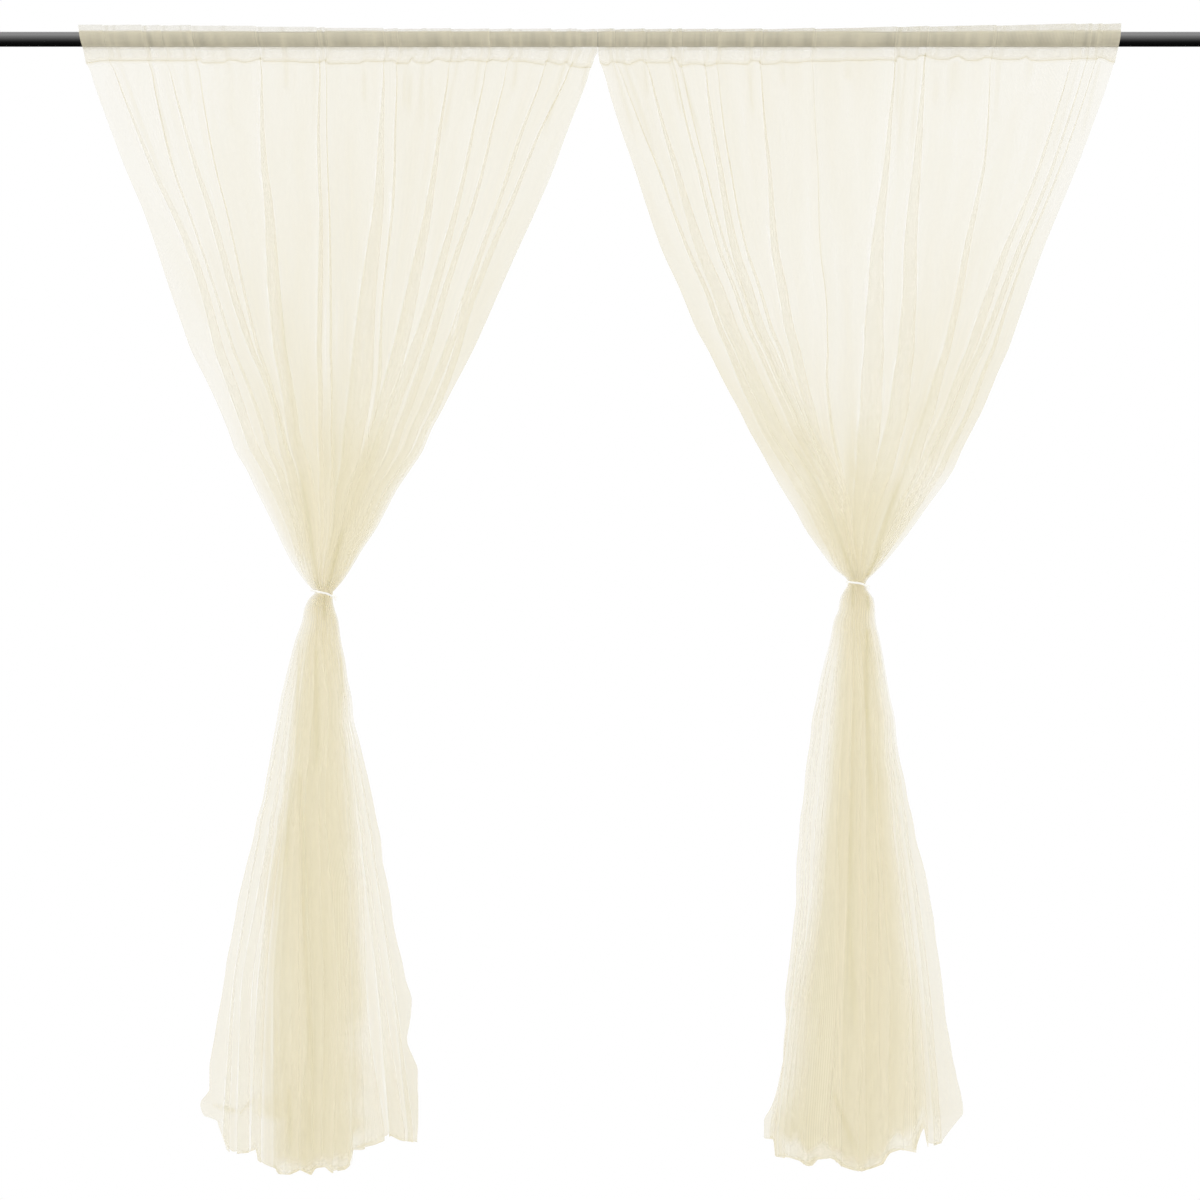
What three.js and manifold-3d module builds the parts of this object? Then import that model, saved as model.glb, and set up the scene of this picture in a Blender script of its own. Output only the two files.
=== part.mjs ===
// A pair of ivory mesh curtains on one curtain rod.
// Each panel is one sheet: its top is turned over into a pocket that wraps the rod, it is
// gathered along the rod, drawn in to a waist by a narrow ribbon tie, and opens again into
// a skirt with an uneven hem. Millimetres, +Z up, room at -Y, origin on the rod's axis.
import * as THREE from 'three';
import { mergeVertices } from 'three/addons/utils/BufferGeometryUtils.js';
import Module from 'manifold-3d';

const ROD_RADIUS = 14;
const ROD_LENGTH = 2300;
const ROD_CHAMFER = 1;
const ROD_SIDES = 48;

const SHEET = 1.2;
const WAIST_SHEET = 1.0;
const CLEARANCE = 0.3;

// The pocket: base radius of its corners round the rod, how far the folds rise on its
// first slope, over the rod and on its last slope, foot of its slope, height of its seam
const POCKET_RADIUS = 15.95;
const POCKET_ANGLES = [-30, 10, 50, 90, 130, 170, 210];
const POCKET_RISE = { start: 1.2, over: 2.6, end: 3.4 };
const SLOPE_HEIGHT = -25;
const SLOPE_OUT = 7.2;
const SLOPE_ANGLE = 21;
const SEAM_HEIGHT = -43;
const SEAM_BAND = 5;

// Level heights between the pocket's seam and the waist, then shares of the skirt's length
const DROP_HEIGHTS = [-94, -169, -280, -411, -560, -708, -838, -931, -982];
const SKIRT_SHARES = [0.03, 0.08, 0.17, 0.31, 0.48, 0.66, 0.83, 0.93, 1];
const WAIST_HALF_HEIGHT = 3.2;
const WAIST_ROUNDING = 1.16;
const MID_HEIGHT = -485;
const SKIRT_HEIGHT = -1415;
const HEM_HEIGHT = -2050;
const BACK_PLANE = 5;

// Lengths of drop over which the folds change. Under the seam they widen, lean and stand
// out; a little above the waist they are fully gathered; under it the skirt opens and deepens
const FOLDS_WIDEN = 130;
const FOLDS_LEAN = 440;
const FOLDS_STAND = 480;
const GATHERED_ABOVE_WAIST = 40;
const SKIRT_BELOW_WAIST = 8;
const SKIRT_OPENS = 420;
const SKIRT_DEEPENS = 1050;
const TILT_REACH = 90;

// Half widths of a fold's crest and mouth at the rod and further down, their greatest share
// of the pitch, and the shares of its stand, its skirt depth and the waist's oval at the start
const CREST = { rod: 2.5, drop: 5.5 };
const MOUTH = { rod: 5.5, drop: 4 };
const HALF_SHARE = 0.25;
const SKIRT_SHARE = 0.07;
const LEAN_SHARE = 0.32;
const SKIRT_LEAN = 0.5;
const STAND_AT_ROD = 0.4;
const DEPTH_AT_WAIST = 0.55;
const OVAL_EDGE = 0.15;

const RIBBON_WIDTH = 4;
const RIBBON_THICKNESS = 1;
const RIBBON_STEPS = 28;
const KNOT = { width: 6, depth: 6, height: 6 };
const KNOT_ANGLE = -0.35;
const RIBBON_END_LENGTH = 11;
const RIBBON_END_TURNS = [0.75, 1.3];

const CLOTH_COLOUR = 0xf2ecd9;
const RIBBON_COLOUR = 0xfbf9ef;
const ROD_COLOUR = 0x0b0b0c;

// Turns rows of numbers into records with the named columns
function table(names, rows) {
  const keys = names.split(' ');
  return rows.map((row) => Object.fromEntries(keys.map((key, i) => [key, row[i]])));
}

// Left panel seen from the room: its two side edges at each height
const LEFT_OUTLINE = table('z left right', [
  [28, -967, -5],
  [-16, -961, -5],
  [-42, -956, -11],
  [-94, -937, -30],
  [-169, -909, -60],
  [-280, -867, -102],
  [-392, -824, -153],
  [-503, -789, -203],
  [-615, -742, -255],
  [-727, -692, -314],
  [-838, -640, -378],
  [-913, -603, -419],
  [-950, -586, -443],
  [-987, -565, -465],
  [-1010, -546, -483],
  [-1028, -536, -496],
  [-1043, -543, -496],
  [-1061, -551, -493],
  [-1080, -554, -487],
  [-1117, -567, -482],
  [-1192, -586, -469],
  [-1303, -608, -448],
  [-1415, -627, -422],
  [-1564, -664, -396],
  [-1713, -694, -368],
  [-1861, -718, -359],
  [-1936, -729, -339],
  [-1973, -740, -337],
  [-2100, -736, -340],
]);

// One row a fold, left to right: where it lies across the panel as shares of the width,
// how far it stands out and leans half way down, its half depth at the hem, the hem's
// height there, the dip of the seam and the pocket's lift above the rod
const LEFT_FOLDS = table('rod mid skirt hem tall lean deep foot seam lift', [
  [0.066, 0.045, 0.07, 0.06, 8, 6, 18, -2014, -1, 8.5],
  [0.163, 0.12, 0.19, 0.18, 7, -6, 30, -2073, 2, 8.5],
  [0.25, 0.22, 0.31, 0.31, 12, 8, 46, -2098, -2, 8.0],
  [0.348, 0.334, 0.385, 0.37, 16, -20, 58, -2109, 2, 8.5],
  [0.469, 0.48, 0.46, 0.43, 14, 10, 40, -2112, -2, 7.5],
  [0.58, 0.6, 0.535, 0.49, 10, -10, 62, -2109, 1, 8.0],
  [0.635, 0.665, 0.61, 0.55, 15, 12, 50, -2103, -3, 7.0],
  [0.705, 0.74, 0.685, 0.61, 11, -8, 44, -2100, 3, 7.5],
  [0.785, 0.805, 0.76, 0.675, 13, 8, 56, -2096, -2, 7.0],
  [0.87, 0.88, 0.86, 0.8, 14, -10, 28, -2053, 2, 6.0],
  [0.945, 0.95, 0.95, 0.93, 9, 5, 16, -2049, -2, 3.0],
]);

// The side edges: hem height, how far each stands out at the hem, lift of the pocket
const LEFT_SIDES = table('foot out lift', [
  [-1992, 14, 8.5],
  [-2049, -10, 0],
]);
const LEFT_WAIST = { x: -516, z: -1030, tilt: -0.33, halfWidth: 20.1, halfDepth: 15, slack: 1.8 };

// Right panel seen from the room
const RIGHT_OUTLINE = table('z left right', [
  [28, -2, 969],
  [-16, -2, 964],
  [-42, -1, 959],
  [-94, 13, 941],
  [-169, 37, 913],
  [-280, 76, 876],
  [-392, 115, 824],
  [-503, 165, 787],
  [-615, 219, 742],
  [-727, 277, 692],
  [-838, 337, 635],
  [-913, 383, 578],
  [-950, 409, 549],
  [-987, 437, 517],
  [-1004, 458, 499],
  [-1012, 459, 495],
  [-1020, 456, 497],
  [-1043, 446, 510],
  [-1080, 435, 513],
  [-1117, 428, 521],
  [-1192, 409, 534],
  [-1303, 391, 558],
  [-1415, 378, 573],
  [-1564, 366, 606],
  [-1713, 353, 631],
  [-1861, 342, 651],
  [-1936, 329, 666],
  [-1973, 324, 675],
  [-2010, 316, 668],
  [-2100, 312, 668],
]);

const RIGHT_FOLDS = table('rod mid skirt hem tall lean deep foot seam lift', [
  [0.06, 0.05, 0.05, 0.06, 8, -5, 26, -2080, -2, 3.5],
  [0.12, 0.115, 0.13, 0.12, 13, 9, 44, -2084, 2, 6.0],
  [0.19, 0.185, 0.22, 0.19, 12, -8, 60, -2095, -1, 7.0],
  [0.27, 0.265, 0.31, 0.27, 15, 16, 42, -2082, 1, 7.5],
  [0.405, 0.41, 0.4, 0.35, 5, -6, 55, -2097, -1, 8.5],
  [0.563, 0.573, 0.49, 0.43, 12, 9, 64, -2105, 2, 8.0],
  [0.63, 0.655, 0.58, 0.51, 16, 12, 48, -2099, -3, 7.5],
  [0.7, 0.74, 0.67, 0.59, 10, -8, 58, -2088, 2, 8.0],
  [0.775, 0.805, 0.76, 0.67, 14, 10, 40, -2069, -2, 8.5],
  [0.865, 0.87, 0.85, 0.76, 8, -9, 30, -2069, 1, 8.5],
  [0.95, 0.935, 0.94, 0.9, 13, -12, 16, -2038, -2, 8.5],
]);

const RIGHT_SIDES = table('foot out lift', [
  [-2062, -12, 0],
  [-1996, 12, 8.5],
]);
const RIGHT_WAIST = { x: 477, z: -1015, tilt: -0.14, halfWidth: 18.2, halfDepth: 14, slack: 0.85 };

function mix(a, b, t) {
  return a + (b - a) * t;
}

function ease(t) {
  const s = Math.min(1, Math.max(0, t));
  return s * s * (3 - 2 * s);
}

// Straight-line reading of a falling list of heights
function read(heights, values, z) {
  if (z >= heights[0]) return values[0];
  for (let i = 1; i < heights.length; i += 1) {
    if (z >= heights[i]) {
      return mix(values[i - 1], values[i], (z - heights[i - 1]) / (heights[i] - heights[i - 1]));
    }
  }
  return values[values.length - 1];
}

function readOutline(outline, side, z) {
  return read(outline.map((row) => row.z), outline.map((row) => row[side]), z);
}

// The five columns of a fold: foot of its wall, crest start, middle and end, foot again
const CORNERS = table('side rise', [
  [-1, 0],
  [-1, 0.9],
  [0, 1],
  [1, 0.9],
  [1, 0],
]);

// Columns of a panel: side edge, five for each fold, side edge
function columnsOf(panel) {
  const columns = [{ edge: 0, rise: 0, side: 0 }];
  panel.folds.forEach((fold, k) => {
    CORNERS.forEach((corner) => columns.push({ fold, k, ...corner }));
  });
  columns.push({ edge: 1, rise: 0, side: 0 });
  return columns;
}

// Centre line of fold k at a height, as a share of the panel's width
function shareAt(panel, k, z) {
  if (k < 0) return 0;
  if (k >= panel.folds.length) return 1;
  const fold = panel.folds[k];
  const even = (k + 0.5) / panel.folds.length;
  const heights = [SEAM_HEIGHT, MID_HEIGHT, panel.waist.z, SKIRT_HEIGHT, HEM_HEIGHT];
  return read(heights, [fold.rod, fold.mid, even, fold.skirt, fold.hem], z);
}

// Where column c crosses height z: x across the room, h out towards the room
function pointAt(panel, column, z) {
  const left = readOutline(panel.outline, 'left', z);
  const right = readOutline(panel.outline, 'right', z);
  const width = right - left;
  const waist = panel.waist;
  const gather = z > waist.z ? ease((MID_HEIGHT - z) / (MID_HEIGHT - waist.z - GATHERED_ABOVE_WAIST)) : 1;
  const open = ease((waist.z - SKIRT_BELOW_WAIST - z) / SKIRT_OPENS);
  const ovalAt = (x) => {
    const reach = (x - waist.x) / (waist.halfWidth * WAIST_ROUNDING);
    return waist.halfDepth * Math.sqrt(Math.max(OVAL_EDGE, 1 - reach ** 2));
  };
  if (column.edge !== undefined) {
    const x = column.edge ? right : left;
    const side = panel.sides[column.edge];
    return { x, h: mix(mix(-BACK_PLANE, -ovalAt(x), gather), side.out, open) };
  }
  const { fold, k } = column;
  const share = shareAt(panel, k, z);
  const before = (share - shareAt(panel, k - 1, z)) * width * (k === 0 ? 2 : 1);
  const last = k === panel.folds.length - 1;
  const after = (shareAt(panel, k + 1, z) - share) * width * (last ? 2 : 1);
  const pitch = Math.min(before, after);
  const step = column.side < 0 ? before : after;
  const below = ease((SEAM_HEIGHT - z) / FOLDS_WIDEN);
  const crestTop = Math.min(mix(CREST.rod, CREST.drop, below), pitch * HALF_SHARE);
  const mouthTop = Math.min(mix(MOUTH.rod, MOUTH.drop, below), step * HALF_SHARE);
  const crest = mix(crestTop, pitch * (HALF_SHARE + SKIRT_SHARE * open), gather);
  const mouth = mix(mouthTop, step * (HALF_SHARE - SKIRT_SHARE * open), gather);
  const lean = Math.min(1, (pitch * LEAN_SHARE) / Math.abs(fold.lean)) * fold.lean;
  const half = column.rise > 0 ? crest : mouth;
  const leaning = mix(ease((SEAM_HEIGHT - z) / FOLDS_LEAN), SKIRT_LEAN * open, gather);
  const drift = column.rise * lean * leaning;
  const x = left + share * width + column.side * half + drift;
  const stand = fold.tall * mix(STAND_AT_ROD, 1, ease(-z / FOLDS_STAND));
  const high = column.rise * stand - BACK_PLANE;
  const neck = ovalAt(x) * (2 * column.rise - 1);
  const depth = fold.deep * mix(DEPTH_AT_WAIST, 1, ease((waist.z - z) / SKIRT_DEEPENS));
  const skirt = (2 * column.rise - 1) * depth;
  return { x, h: mix(mix(high, neck, gather), skirt, open) };
}

// Values that go from fold to fold and hold between them, such as the hem's height
function along(panel, column, key) {
  return column.fold ? column.fold[key] : panel.sides[column.edge][key] ?? 0;
}

// The rows of a sheet, from the pocket's back slope over the rod and down to the hem.
// Each row has a point for every column and the direction that faces out there.
function rowsOf(panel, columns) {
  const rows = [];
  const addPocketRow = (angle, y, z, rise, lifted) => {
    const out = new THREE.Vector2(Math.cos(angle), Math.sin(angle));
    rows.push(columns.map((column) => {
      const point = pointAt(panel, column, Math.min(SEAM_HEIGHT, z));
      const left = readOutline(panel.outline, 'left', z);
      const right = readOutline(panel.outline, 'right', z);
      const seamLeft = readOutline(panel.outline, 'left', SEAM_HEIGHT);
      const seamRight = readOutline(panel.outline, 'right', SEAM_HEIGHT);
      const share = (point.x - seamLeft) / (seamRight - seamLeft);
      const lift = lifted * along(panel, column, 'lift');
      return { x: mix(left, right, share), h: column.rise * rise, y, z: z + lift, out };
    }));
  };
  const slope = THREE.MathUtils.degToRad(SLOPE_ANGLE);
  addPocketRow(-slope, SLOPE_OUT, SLOPE_HEIGHT, POCKET_RISE.start, 0);
  POCKET_ANGLES.forEach((degrees) => {
    const angle = THREE.MathUtils.degToRad(degrees);
    const z = POCKET_RADIUS * Math.sin(angle);
    const lifted = Math.max(0, Math.sin(angle));
    addPocketRow(angle, POCKET_RADIUS * Math.cos(angle), z, POCKET_RISE.over, lifted);
  });
  addPocketRow(Math.PI + slope, -SLOPE_OUT, SLOPE_HEIGHT, POCKET_RISE.end, 0);
  const front = new THREE.Vector2(-1, 0);
  const addLevelRow = (heightOf) => {
    rows.push(columns.map((column) => {
      const z = heightOf(column);
      return { ...pointAt(panel, column, z), y: 0, z, out: front };
    }));
  };
  addLevelRow((column) => SEAM_HEIGHT + SEAM_BAND + along(panel, column, 'seam'));
  addLevelRow((column) => SEAM_HEIGHT + along(panel, column, 'seam'));
  const waist = panel.waist;
  const tilted = (column, z) => {
    const near = ease(1 - Math.abs(z - waist.z) / TILT_REACH);
    return z + waist.tilt * near * (pointAt(panel, column, z).x - waist.x);
  };
  DROP_HEIGHTS.forEach((z) => addLevelRow((column) => tilted(column, z)));
  [WAIST_HALF_HEIGHT, -WAIST_HALF_HEIGHT].forEach((offset) => {
    rows.push(columns.map((column) => {
      const point = pointAt(panel, column, waist.z);
      const z = waist.z + offset + waist.tilt * (point.x - waist.x);
      return { ...point, y: 0, z, out: front, sheet: WAIST_SHEET };
    }));
  });
  SKIRT_SHARES.forEach((share) => {
    addLevelRow((column) => tilted(column, mix(waist.z, along(panel, column, 'foot'), share)));
  });
  return rows;
}

// The two faces of the sheet: every point moved half the thickness along the bend's normal
function facesOf(rows) {
  const outer = [];
  const inner = [];
  rows.forEach((row) => {
    const edges = row.slice(1).map((point, j) => {
      return new THREE.Vector2(point.x - row[j].x, point.h - row[j].h).normalize();
    });
    row.forEach((point, j) => {
      const before = edges[Math.max(0, j - 1)];
      const after = edges[Math.min(edges.length - 1, j)];
      const normal = new THREE.Vector2(-before.y - after.y, before.x + after.x).normalize();
      const bend = Math.max(0.6, normal.dot(new THREE.Vector2(-before.y, before.x)));
      const half = (point.sheet ?? SHEET) / 2 / bend;
      [half, -half].forEach((offset) => {
        const h = point.h + normal.y * offset;
        const target = offset > 0 ? outer : inner;
        target.push([point.x + normal.x * offset, point.y + h * point.out.x, point.z + h * point.out.y]);
      });
    });
  });
  return { outer, inner };
}

// One closed sheet: outer face, inner face of the pocket, back face below the seam, the
// strips that sew the pocket's end to the front at the seam, the hem and the side edges
function sheetGeometry(panel) {
  const columns = columnsOf(panel);
  const rows = rowsOf(panel, columns);
  const { outer, inner } = facesOf(rows);
  const count = columns.length;
  const last = rows.length - 1;
  const seam = POCKET_ANGLES.length + 3;
  const O = (r, j) => r * count + j;
  const I = (r, j) => outer.length + r * count + j;
  const index = [];
  const quad = (a, b, c, d) => index.push(a, b, c, a, c, d);
  for (let j = 0; j < count - 1; j += 1) {
    for (let r = 0; r < last; r += 1) {
      quad(O(r, j), O(r + 1, j), O(r + 1, j + 1), O(r, j + 1));
      if (r !== seam - 1) quad(I(r, j), I(r, j + 1), I(r + 1, j + 1), I(r + 1, j));
    }
    quad(I(seam - 1, j), I(seam - 1, j + 1), I(0, j + 1), I(0, j));
    quad(O(0, j + 1), I(seam, j + 1), I(seam, j), O(0, j));
    quad(O(last, j), I(last, j), I(last, j + 1), O(last, j + 1));
  }
  [0, count - 1].forEach((j) => {
    const cap = (a, b, c, d) => (j === 0 ? quad(a, b, c, d) : quad(d, c, b, a));
    for (let r = 0; r < last; r += 1) cap(O(r, j), I(r, j), I(r + 1, j), O(r + 1, j));
    cap(I(seam - 1, j), I(0, j), O(0, j), I(seam, j));
  });
  const geometry = new THREE.BufferGeometry();
  geometry.setAttribute('position', new THREE.Float32BufferAttribute([...outer, ...inner].flat(), 3));
  geometry.setIndex(index);
  return geometry;
}

const wasm = await Module();
wasm.setup();

function toSolid(geometry) {
  const bare = geometry.clone();
  bare.deleteAttribute('normal');
  bare.deleteAttribute('uv');
  const merged = mergeVertices(bare, 1e-4);
  const vertProperties = new Float32Array(merged.attributes.position.array);
  const triVerts = new Uint32Array(merged.index.array);
  return new wasm.Manifold(new wasm.Mesh({ numProp: 3, vertProperties, triVerts }));
}

function toGeometry(solid) {
  const mesh = solid.getMesh();
  const geometry = new THREE.BufferGeometry();
  geometry.setAttribute('position', new THREE.Float32BufferAttribute(mesh.vertProperties, 3));
  geometry.setIndex(Array.from(mesh.triVerts));
  return geometry;
}

// Ribbon tie: a flat band round the waist, a small knot at its right front and two ends
function tieGeometry(waist) {
  const room = SHEET / 2 + CLEARANCE + RIBBON_THICKNESS / 2;
  const slant = Math.atan(waist.tilt);
  const wide = (waist.halfWidth * WAIST_ROUNDING + room) / Math.cos(slant);
  const deep = waist.halfDepth + room + waist.slack;
  const rim = (extra) => {
    const path = new THREE.Path();
    path.absellipse(0, 0, wide + extra, deep + extra, 0, Math.PI * 2);
    return path.getPoints(RIBBON_STEPS);
  };
  const shape = new THREE.Shape(rim(RIBBON_THICKNESS / 2));
  shape.holes.push(new THREE.Path(rim(-RIBBON_THICKNESS / 2)));
  const band = new THREE.ExtrudeGeometry(shape, { depth: RIBBON_WIDTH, bevelEnabled: false });
  band.translate(0, 0, -RIBBON_WIDTH / 2);
  const out = (KNOT.depth - RIBBON_THICKNESS) / 2;
  const knotX = (wide + out) * Math.cos(KNOT_ANGLE);
  const knotY = (deep + out) * Math.sin(KNOT_ANGLE);
  const knot = new THREE.SphereGeometry(0.5, 12, 8);
  knot.scale(KNOT.width, KNOT.depth, KNOT.height);
  knot.translate(knotX, knotY, 0);
  let solid = toSolid(band).add(toSolid(knot));
  RIBBON_END_TURNS.forEach((turn) => {
    const strip = new THREE.BoxGeometry(RIBBON_WIDTH, RIBBON_THICKNESS, RIBBON_END_LENGTH);
    strip.translate(0, 0, -RIBBON_END_LENGTH / 2);
    strip.rotateY(-turn);
    strip.translate(knotX, knotY - turn, 0);
    solid = solid.add(toSolid(strip));
  });
  const geometry = toGeometry(solid);
  geometry.rotateY(-slant);
  geometry.translate(waist.x, 0, waist.z);
  return geometry;
}

function rodGeometry() {
  const end = ROD_LENGTH / 2;
  const profile = [
    [0, -end],
    [ROD_RADIUS - ROD_CHAMFER, -end],
    [ROD_RADIUS, -end + ROD_CHAMFER],
    [ROD_RADIUS, end - ROD_CHAMFER],
    [ROD_RADIUS - ROD_CHAMFER, end],
    [0, end],
  ].map(([radius, height]) => new THREE.Vector2(radius, height));
  const geometry = new THREE.LatheGeometry(profile, ROD_SIDES);
  geometry.rotateZ(-Math.PI / 2);
  return geometry;
}

const group = new THREE.Group();

function addMesh(name, geometry, colour, roughness) {
  const material = new THREE.MeshStandardMaterial({ color: colour, roughness, metalness: 0 });
  const mesh = new THREE.Mesh(geometry, material);
  mesh.name = name;
  group.add(mesh);
}

const LEFT = { outline: LEFT_OUTLINE, folds: LEFT_FOLDS, sides: LEFT_SIDES, waist: LEFT_WAIST };
const RIGHT = { outline: RIGHT_OUTLINE, folds: RIGHT_FOLDS, sides: RIGHT_SIDES, waist: RIGHT_WAIST };

addMesh('rod', rodGeometry(), ROD_COLOUR, 0.25);
addMesh('panel_left', sheetGeometry(LEFT), CLOTH_COLOUR, 0.9);
addMesh('panel_right', sheetGeometry(RIGHT), CLOTH_COLOUR, 0.9);
addMesh('tie_left', tieGeometry(LEFT_WAIST), RIBBON_COLOUR, 0.6);
addMesh('tie_right', tieGeometry(RIGHT_WAIST), RIBBON_COLOUR, 0.6);

export default group;
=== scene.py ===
import math

import bpy
import numpy as np
from mathutils import Matrix, Vector


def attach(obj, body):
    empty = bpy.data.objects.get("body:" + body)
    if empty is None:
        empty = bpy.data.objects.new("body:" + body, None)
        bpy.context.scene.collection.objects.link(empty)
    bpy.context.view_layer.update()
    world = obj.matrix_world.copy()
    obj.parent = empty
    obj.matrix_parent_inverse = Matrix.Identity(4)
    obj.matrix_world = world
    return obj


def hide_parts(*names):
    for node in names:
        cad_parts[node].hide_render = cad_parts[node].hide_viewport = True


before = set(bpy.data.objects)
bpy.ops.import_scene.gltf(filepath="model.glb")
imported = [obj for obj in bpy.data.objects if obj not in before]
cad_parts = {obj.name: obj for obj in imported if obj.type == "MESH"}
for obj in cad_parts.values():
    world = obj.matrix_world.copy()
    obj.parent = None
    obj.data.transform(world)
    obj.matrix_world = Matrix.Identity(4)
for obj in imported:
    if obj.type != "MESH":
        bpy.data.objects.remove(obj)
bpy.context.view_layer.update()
MM = 0.001


# Curtain rod
# A straight 28 mm steel tube, drawn and sprayed with gloss black enamel, its ends closed by
# plain pressed caps. The enamel is smooth, so the studio shows in it as one soft streak.
ROD_RADIUS = 14.0
ROD_HALF_LENGTH = 1150.0
ROD_SIDES = 96
PEEL_SIZE = 9 * MM
DUST_SIZE = 60 * MM
CAP_ROUNDING = 1.5
CAP_STEPS = 6
CAP_BEVEL = (1.0, 0.4)
CAP_RECESS = 0.4
CAP_LENGTH = 9.0


def linear(code):
    """An sRGB hex colour as the linear values that shaders take."""
    channels = [int(code[i:i + 2], 16) / 255 for i in (1, 3, 5)]
    return [c / 12.92 if c <= 0.04045 else ((c + 0.055) / 1.055) ** 2.4 for c in channels] + [1]


def add(tree, kind, links=None, sockets=None, **settings):
    """One node with its settings and its constant sockets. A node of the tree's own family goes
    by its short name. Links are socket: source, an output or a node for its first output."""
    made = tree.nodes.new(kind if "Node" in kind else tree.bl_idname.replace("Tree", kind))
    for name, value in settings.items():
        setattr(made, name, value)
    for name, value in (sockets or {}).items():
        made.inputs[name].default_value = value
    for name, source in (links or {}).items():
        tree.links.new(getattr(source, "outputs", (source,))[0], made.inputs[name])
    return made


def shades(tree, factor, first, second):
    """A colour between two hex colours. A Mix node's sockets 6 and 7 are those for colours."""
    made = add(tree, "Mix", {"Factor": factor}, data_type="RGBA")
    made.inputs[6].default_value, made.inputs[7].default_value = linear(first), linear(second)
    return made.outputs["Result"]


def new_material(name):
    made = bpy.data.materials.new(name)
    made.use_nodes = True
    made.node_tree.nodes.clear()
    return made, made.node_tree


def new_piece(name, points, faces, material=None, smooth=True, edges=()):
    """A mesh piece from points in millimetres."""
    mesh = bpy.data.meshes.new(name)
    mesh.from_pydata((np.asarray(points, float) * MM).tolist(), edges, faces)
    mesh.polygons.foreach_set("use_smooth", [smooth] * len(mesh.polygons))
    if material:
        mesh.materials.append(material)
    mesh.update()
    piece = bpy.data.objects.new(name, mesh)
    bpy.context.scene.collection.objects.link(piece)
    return piece


def ring_faces(rings, sides):
    """Quads between the neighbouring rings of a turned form."""
    faces = []
    for r in range(rings - 1):
        for k in range(sides):
            a, b = r * sides + k, r * sides + (k + 1) % sides
            faces.append((a, a + sides, b + sides, b))
    return faces


def lathe(profile, sides):
    """Points and faces of a closed profile of (radius, x) turned round the X axis."""
    points = []
    for radius, along in profile:
        for k in range(sides):
            turn = 2 * math.pi * k / sides
            points.append((along, radius * math.cos(turn), radius * math.sin(turn)))
    faces = ring_faces(len(profile), sides)
    first, last = len(points), len(points) + 1
    points += [(profile[0][1], 0, 0), (profile[-1][1], 0, 0)]
    top = (len(profile) - 1) * sides
    for k in range(sides):
        faces.append((first, k, (k + 1) % sides))
        faces.append((last, top + (k + 1) % sides, top + k))
    return points, faces


# Gloss black enamel: a dark base with a clear smooth skin and very faint orange peel
enamel, tree = new_material("gloss_black_enamel")
where = add(tree, "TexCoord")
peel = add(tree, "TexNoise", {"Vector": where.outputs["Object"]},
           {"Scale": 1 / PEEL_SIZE, "Detail": 1.0})
bump = add(tree, "Bump", {"Height": peel}, {"Strength": 0.02, "Distance": 0.2 * MM})
dust = add(tree, "TexNoise", {"Vector": where.outputs["Object"]},
           {"Scale": 1 / DUST_SIZE, "Detail": 3.0})
rough = add(tree, "MapRange", {"Value": dust}, {"To Min": 0.2, "To Max": 0.26})
coat = add(tree, "BsdfPrincipled", {"Normal": bump, "Roughness": rough},
           {"Base Color": linear("#050505"), "IOR": 1.5})
add(tree, "OutputMaterial", {"Surface": coat})

profile = []
for side in (-1, 1):
    end = ROD_HALF_LENGTH * side
    ring = [(ROD_RADIUS - CAP_ROUNDING - CAP_BEVEL[0], end - side * CAP_RECESS),
            (ROD_RADIUS - CAP_ROUNDING - CAP_BEVEL[1], end)]
    for step in range(CAP_STEPS + 1):
        turn = math.pi / 2 * step / CAP_STEPS
        ring.append((ROD_RADIUS - CAP_ROUNDING * (1 - math.sin(turn)),
                     end - side * CAP_ROUNDING * (1 - math.cos(turn))))
    ring.append((ROD_RADIUS, end - side * CAP_LENGTH))
    profile += ring if side < 0 else ring[::-1]
rod = new_piece("curtain_rod", *lathe(profile, ROD_SIDES), enamel)
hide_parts("rod")
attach(rod, "root")


# Mesh panels
# Soft ivory polyamide tulle, one width of cloth each. The top is turned over and sewn into a
# pocket that wraps the rod, the cloth is pushed together along it, and the hem is cut raw.
FLAT_WIDTH = 1070

# Grid of the cloth
FOLD_HEIGHTS = (-50, -262, -485, -708, -931, -1229, -1415, -1601, -1787, -2029)
WAIST_ROW = 5
SEAM_HEIGHT = -43
SEAM_HALF_WIDTH = 1.6
BELOW_SEAM = 6
LOWEST = -2112
STRIP_COLUMNS = 18
WALL_COLUMNS = 9
EVEN_COLUMNS = 0.35
SMOOTHINGS = 2

# Where the cloth is drawn in and opens again, and how far its folds stand off
NECK_START = -485
NECK_END = 25
OPENING_START = 6
OPENING_RUN = 380
SKIRT_FREE = -1415
SKIRT_FREE_RUN = 190
FOLD_OPENING = ((50, 0.35), (262, 0.85), (485, 1.0))
FOLD_SIZES = (0.7, 1.3)
EVEN_PLACE = {1: 1.25, -1: 1.75}
EDGE_ROOM = 2
OVAL_WIDTH = 1.14
OVAL_LEAST = 0.12
UPPER_STAND_OFF = (1.4, 7.5)
UPPER_RUN = 400
SKIRT_STAND_OFF = (13, 25)
SKIRT_RUN = 900
SEAM_REACH = 60
WAIST_REACH = 90
HEM_FALL = 1.5
HEM_LIFTS = (2, 12)
LIFTED_SHARE = 0.6
HEM_TOLERANCE = 0.1

# Soft relief as (height, length across, length down, waves), and painted shade and light: fold
# fronts lighter, hollows darker, the neck lighter
WAVE_LENGTHS = (0.6, 1.6)
UPPER_RELIEF = (2.2, 95, 1500)
SKIRT_RELIEF = (5.0, 150, 900)
SKIRT_SWING = (15.0, 260, 1600, 4)
FULL_RELIEF = 6.0
TONE = (0.3, 0.5)
FOLD_PAINTED_SHADE = (0.2, 0.5)
NECK_PAINTED_LIGHT = 0.08

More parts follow.
